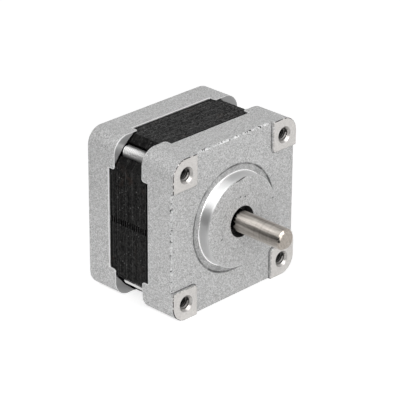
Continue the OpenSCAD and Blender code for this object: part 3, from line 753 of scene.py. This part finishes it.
SHAFT_END = faced_steel()


# ---------- pieces ----------

def give_finishes(bm, finishes, rules):
    """Gives each face the finish of the first rule that holds for its middle, normal and radius."""
    for face in bm.faces:
        middle, normal = face.calc_center_median(), face.normal
        radius = math.hypot(middle.x, middle.z)
        for finish, rule in rules:
            if rule(middle, normal, radius):
                face.material_index = finishes.index(finish)
                break


def near_hole(p):
    """Whether a point is at one of the tapped holes."""
    return min(math.hypot(p.x - a.x, p.z - a.z) for a in screw_axes) < TAP_RIM_R


def corner_reach(p):
    """How far a point lies from both middle planes of the square face: large in the corners only."""
    return min(abs(p.x), abs(p.z))


def at_pilot_foot(edge):
    """Where the pilot's wall meets the recess's floor."""
    return abs(radius_of(edge) - pilot_r) < 0.1 * MM and abs(middle_of(edge).y - RECESS_Y) < NEAR


def at_pad_corner(edge):
    """The upright edge of a pad's inner corner."""
    middle = middle_of(edge)
    return all(abs(abs(v) - PAD_EDGE) < NEAR for v in (middle.x, middle.z)) and middle.y < CAST_Y


def on_pad_rim(edge):
    """The rim of a pad's face."""
    middle = middle_of(edge)
    return abs(middle.y) < NEAR and corner_reach(middle) > PAD_EDGE - 0.1 * MM and not near_hole(middle)


def on_front_lobe(edge):
    """An edge of the front cap's corner lobes, beside the stack."""
    return middle_of(edge).y > stack_lo.y - NEAR


def on_rear_lobe(edge):
    """An edge of the rear cap's corner lobes, beside the stack."""
    return middle_of(edge).y < stack_hi.y + 0.1 * MM


def on_front_face(edge):
    """Any other edge at the front of the front cap."""
    middle = middle_of(edge)
    return not (on_front_lobe(edge) or near_hole(middle)) and middle.y < FRONT_EDGES_Y


def open_tapped_holes(bm):
    """Widens the tapped holes to the thread's outer radius, for the ridges to stand in."""
    for vert in bm.verts:
        for axis in screw_axes:
            out = Vector((vert.co.x - axis.x, 0, vert.co.z - axis.z))
            if abs(out.length - thread_minor_r) < 0.03 * MM:
                out.length = SCREW_R + 0.02 * MM
                vert.co.x, vert.co.z = axis.x + out.x, axis.z + out.z


def make_front_cap():
    """The front casting, with its pads, pilot, worn edges, a painted highlight along its lobe rims, and
    tapped holes.
    """
    bm = copy_of("front_cap")
    finishes = [FINISHES["cast_cap"], MILLED, LOBE_END, TAPPED, WALL, FILLET]
    open_tapped_holes(bm)
    give_finishes(bm, finishes, [
        (TAPPED, lambda p, n, r: near_hole(p) and p.y < TAP_BACK_Y and abs(n.y) < 0.9),
        (MILLED, lambda p, n, r: n.y < -0.99 and abs(p.y) < NEAR and corner_reach(p) > PAD_EDGE),
        (WALL, lambda p, n, r: abs(r - pilot_r) < 0.4 * MM and abs(n.y) < 0.95 and p.y < RECESS_Y),
        (TAPPED, lambda p, n, r: r < SHAFT_HOLE_R and abs(n.y) < 0.9 and p.y < RECESS_Y),
        (LOBE_END, lambda p, n, r: n.y > 0.99 and p.y > stack_lo.y + MM),
    ])
    # The cast face's outer edges are dented, and the upper one is nicked too
    wear = wear_of(bm)
    for face in bm.faces:
        middle, normal = face.calc_center_median(), face.normal
        outer = CAST_Y < middle.y < 2 * CAST_Y and max(abs(middle.x), abs(middle.z)) > 15 * MM
        if outer and 0.05 < abs(normal.y) < 0.97:
            face[wear] = NICKED if normal.z > 0.2 else DENTED
    round_edges(bm, PAD_CORNER_R, at_pad_corner, segments=6)
    round_edges(bm, PILOT_FOOT, at_pilot_foot, PLAIN, finishes.index(FILLET), segments=4)
    round_edges(bm, PAD_RIM, on_pad_rim, NICKED, finishes.index(MILLED))
    # Painted highlight: the lobe rims are drawn as bright bare metal
    round_edges(bm, LOBE_RIM, on_front_lobe, HIGHLIT_RIM)
    round_edges(bm, CAP_EDGE, on_front_face)
    # The pads' outer rims are scuffed
    wear = wear_of(bm)
    for face in bm.faces:
        middle, normal = face.calc_center_median(), face.normal
        on_rim = (middle.y < PAD_RIM - 0.01 * MM and corner_reach(middle) > PAD_EDGE - 0.1 * MM
                  and not near_hole(middle))
        faces_out = normal.x * middle.x + normal.z * middle.z > 0.0
        if on_rim and faces_out and 0.05 < abs(normal.y) < 0.995:
            face[wear], face.material_index = SCUFFED, finishes.index(MILLED)
    # Rounding must not push a corner past the body's sides
    for vert in bm.verts:
        vert.co.x = max(-body_half, min(body_half, vert.co.x))
        vert.co.z = max(-body_half, min(body_half, vert.co.z))
    ridge = thread_ridge(SCREW_R + 0.05 * MM, thread_minor_r, thread_start_y + 0.25 * MM, THREAD_DEPTH)
    join_at_corners(bm, ridge, finishes.index(TAPPED))
    return finish_piece(bm, "front_cap_casting", "housing", finishes, ["front_cap"])


def make_rear_cap():
    """The rear casting, with its turned ring and lobe ends."""
    bm = copy_of("rear_cap")
    finishes = [FINISHES["cast_cap"], LOBE_END]
    give_finishes(bm, finishes, [
        (LOBE_END, lambda p, n, r: n.y < -0.99 and p.y < stack_hi.y - MM),
        (LOBE_END, lambda p, n, r: p.y > rear_y - 0.5 * MM and abs(r - REAR_RING_R) < 0.5 * MM and n.y < 0.9),
    ])
    # Painted highlight: the lobe rims are drawn as bright bare metal
    round_edges(bm, LOBE_RIM, on_rear_lobe, HIGHLIT_RIM)
    return finish_piece(bm, "rear_cap_casting", "housing", finishes, ["rear_cap"])


def slice_of(whole, y0, y1):
    """A closed slice of the mesh between two planes."""
    sheet = whole.copy()
    for y, normal in ((y0, (0, -1, 0)), (y1, (0, 1, 0))):
        cut = bmesh.ops.bisect_plane(sheet, geom=all_of(sheet), dist=0.001 * MM, plane_co=(0, y, 0),
                                     plane_no=normal, clear_outer=True)["geom_cut"]
        edges = [g for g in cut if isinstance(g, bmesh.types.BMEdge) and g.is_boundary]
        if edges:
            bmesh.ops.triangle_fill(sheet, edges=edges, normal=normal, use_beauty=True)
    return sheet


def make_stack():
    """The stack as separate sheets, each a slice of the CAD stack and a hair out of line."""
    chance = random.Random(39)
    count = round((stack_hi.y - stack_lo.y) / SHEET)
    pitch = (stack_hi.y - stack_lo.y) / count
    whole = copy_of("stator_core")
    bm = bmesh.new()
    for i in range(count):
        y0 = stack_lo.y + i * pitch + (SHEET_GAP / 2 if i else 0)
        y1 = stack_lo.y + (i + 1) * pitch - (SHEET_GAP / 2 if i < count - 1 else 0)
        sheet = slice_of(whole, y0, y1)
        slip = Vector((chance.uniform(-SLIP_X, SLIP_X), 0, chance.uniform(-SLIP_Z, SLIP_Z))) * MM
        if i in (0, count - 1):
            bmesh.ops.scale(sheet, verts=sheet.verts, vec=(END_SHEET_SCALE, 1, END_SHEET_SCALE))
        bmesh.ops.translate(sheet, verts=sheet.verts, vec=slip)
        join(bm, sheet)
        # Sheets are stacked a quarter turn apart, so every second one has no notch at the sides
        for side in (-1, 1) if i % 2 and i < count - 1 else ():
            tongue = bmesh.ops.create_cube(bm, size=1.0)["verts"]
            bmesh.ops.scale(bm, vec=(NOTCH_DEPTH, y1 - y0, 2 * NOTCH_HALF), verts=tongue)
            place = Vector((side * (stack_hi.x - NOTCH_DEPTH / 2), (y0 + y1) / 2, 0)) + slip
            bmesh.ops.translate(bm, vec=place, verts=tongue)
    whole.free()
    return finish_piece(bm, "lamination_sheets", "housing",
                        [FINISHES["lamination"]], ["stator_core"])


def make_tie_screws():
    """Fully threaded tie screws: the CAD heads, each on a short neck, with a real thread under them."""
    bm = copy_of("tie_screws")
    cut = bmesh.ops.bisect_plane(bm, geom=all_of(bm), plane_co=(0, HEAD_Y - 0.2 * MM, 0),
                                 plane_no=(0, -1, 0), clear_outer=True)["geom_cut"]
    bmesh.ops.holes_fill(bm, edges=[g for g in cut if isinstance(g, bmesh.types.BMEdge)], sides=0)
    round_edges(bm, SCREW_HEAD_EDGE)
    for face in bm.faces:
        face.material_index = 1
    join_at_corners(bm, screw_thread(SCREW_R, SCREW_ROOT_R, screw_end_y, HEAD_Y - 0.1 * MM))
    return finish_piece(bm, "tie_screws_threaded", "housing",
                        [FINISHES["screw_steel"], SCREW_HEAD], ["tie_screws"], smooth=32)


def make_shaft():
    """The shaft with its end face and chamfer cut clean, and a hair of edge on both."""
    bm = copy_of("shaft")
    finishes = [FINISHES["shaft_steel"], SHAFT_END]
    tip = min(v.co.y for v in bm.verts)
    give_finishes(bm, finishes, [(SHAFT_END, lambda p, n, r: p.y < tip + MM and n.y < -0.4)])
    round_edges(bm, SHAFT_EDGE, lambda e: middle_of(e).y < tip + MM, angle=25)
    return finish_piece(bm, "shaft_ground", "rotor", finishes, ["shaft"])


def make_connector():
    """The connector's housing with the edges that a mould leaves."""
    bm = copy_of("connector_housing")
    round_edges(bm, CONNECTOR_EDGE)
    return finish_piece(bm, "connector_moulding", "housing",
                        [FINISHES["connector_plastic"]], ["connector_housing"])


def dress_nodes():
    """Every CAD node takes the finish of its own material slot."""
    for part in frame["record"]["subparts"]:
        mesh = nodes[part["node"]].data
        mesh.materials.clear()
        mesh.materials.append(FINISHES[part["material_slot"]])


# ---------- studio ----------

# The camera, as fitted to the photograph's outline
AZIMUTH, ELEVATION, ROLL = -45.699, 25.227, 0.356
DISTANCE, ACROSS, UPWARD = 478.007 * MM, -2.187 * MM, 1.720 * MM
FOCAL_PX, FRAME_PX, SENSOR = 2133.998, 400, 36.0
TARGET = Vector((0, 8 * MM, 0))

WORLD_LIGHT = 0.30
FLOOR_PAPER, FLOOR_GLOW = 0.62, 0.72

# Name, direction, distance, width, height, level, and whether it shows in reflections
LAMPS = (
    ("key", (-0.56, -0.68, 0.42), 0.40, 0.55, 0.40, 0.84, True),
    ("left", (-0.95, -0.15, 0.15), 0.8, 0.6, 0.4, 0.19, False),
    ("back", (0.60, 0.75, 0.20), 0.9, 0.7, 0.5, 0.30, False),
)

# Name, place, width, height and glow
CARDS = (
    ("black_card", (-0.25, 0.0, floor_z + 0.08), 0.8, 0.16, 0.0),
    ("softbox_front", (-0.18, -0.42, 0.64), 0.95, 0.45, 4.4),
    ("black_flag", (-0.080, 0.055, floor_z + 0.004), 0.10, 0.11, 0.0),
    ("black_bar", (-0.034, -0.044, floor_z + 0.004), 0.026, 0.026, 0.0),
)


def make_camera():
    """The photograph's camera, turned about TARGET."""
    a, e, r = (math.radians(v) for v in (AZIMUTH, ELEVATION, ROLL))
    back = Vector((math.sin(a) * math.cos(e), -math.cos(a) * math.cos(e), math.sin(e)))
    level = Vector((math.cos(a), math.sin(a), 0))
    lift = back.cross(level)
    right = math.cos(r) * level + math.sin(r) * lift
    up = math.cos(r) * lift - math.sin(r) * level
    data = bpy.data.cameras.new("camera")
    data.sensor_width, data.lens = SENSOR, FOCAL_PX / FRAME_PX * SENSOR
    data.clip_start, data.clip_end = 0.01, 50
    camera = to_scene("camera", data)
    turn = Matrix((right, up, back)).transposed()
    place = TARGET + turn @ Vector((ACROSS, UPWARD, DISTANCE))
    camera.matrix_world = Matrix.Translation(place) @ turn.to_4x4()
    bpy.context.scene.camera = camera


def shown_white(t):
    """1 for rays that come straight from the camera or off metal or glass."""
    path = t.add("LightPath").outputs
    reflected = t.math("MAXIMUM", path["Is Glossy Ray"], path["Is Transmission Ray"])
    return t.math("MAXIMUM", path["Is Camera Ray"], reflected)


def make_world():
    """Even light from all round, which shows as white."""
    world = bpy.data.worlds.new("studio")
    bpy.context.scene.world = world
    world.use_nodes = True
    t = Tree(world.node_tree)
    light = world.node_tree.nodes["Background"]
    t.put(light.inputs["Color"], (1, 1, 1))
    t.put(light.inputs["Strength"], t.ramp(shown_white(t), 0, 1, WORLD_LIGHT, 1.0))


def make_floor():
    """A white floor that keeps the motor's shadow."""
    bm = bmesh.new()
    bmesh.ops.create_grid(bm, x_segments=1, y_segments=1, size=4.0)
    bmesh.ops.translate(bm, verts=bm.verts, vec=(0, 0, floor_z - 0.02 * MM))
    mesh = to_mesh(bm, "floor")
    material = bpy.data.materials.new("white floor")
    material.use_nodes = True
    t = Tree(material.node_tree)
    t.nodes.clear()
    paper = t.add("BsdfDiffuse", Color=(FLOOR_PAPER, FLOOR_PAPER, FLOOR_PAPER))
    glow = t.add("Emission", Color=(1, 1, 1), Strength=t.math("MULTIPLY", shown_white(t), FLOOR_GLOW))
    both = t.nodes.new("ShaderNodeAddShader")
    t.put(both.inputs[0], paper.outputs[0])
    t.put(both.inputs[1], glow.outputs[0])
    t.put(t.add("OutputMaterial").inputs["Surface"], both.outputs[0])
    mesh.materials.append(material)
    to_scene("floor", mesh)


def make_lamp(name, direction, distance, width, height, level, shines):
    """A soft oblong lamp that lights a surface facing it by a share of white."""
    data = bpy.data.lights.new(name, "AREA")
    data.shape, data.size, data.size_y = "RECTANGLE", width, height
    data.energy = level * math.pi ** 2 * distance ** 2
    toward = Vector(direction).normalized()
    lamp = to_scene(name, data)
    lamp.visible_glossy = shines
    turn = toward.to_track_quat("Z", "Y").to_matrix().to_4x4()
    lamp.matrix_world = Matrix.Translation(TARGET + toward * distance) @ turn


def make_card(name, place, width, height, glow):
    """A card beside the set that only reflections see: black, or lit as a softbox's front."""
    bm = bmesh.new()
    bmesh.ops.create_grid(bm, x_segments=1, y_segments=1, size=0.5)
    bmesh.ops.scale(bm, vec=(width, height, 1), verts=bm.verts)
    at = Vector(place)
    turn = (TARGET - at).to_track_quat("Z", "Y").to_matrix().to_4x4()
    bm.transform(Matrix.Translation(at) @ turn)
    mesh = to_mesh(bm, name)
    material = bpy.data.materials.new(name)
    material.use_nodes = True
    shader = material.node_tree.nodes["Principled BSDF"]
    shader.inputs["Base Color"].default_value = (0.02, 0.02, 0.02, 1)
    shader.inputs["Emission Color"].default_value = (1, 1, 1, 1)
    shader.inputs["Emission Strength"].default_value = glow
    mesh.materials.append(material)
    card = to_scene(name, mesh)
    card.visible_camera = card.visible_diffuse = card.visible_shadow = False


make_camera()
make_world()
make_floor()
for lamp in LAMPS:
    make_lamp(*lamp)
for card in CARDS:
    make_card(*card)
bpy.context.scene.view_settings.view_transform = "Standard"

dress_nodes()
make_front_cap()
make_rear_cap()
make_stack()
make_tie_screws()
make_shaft()
make_connector()
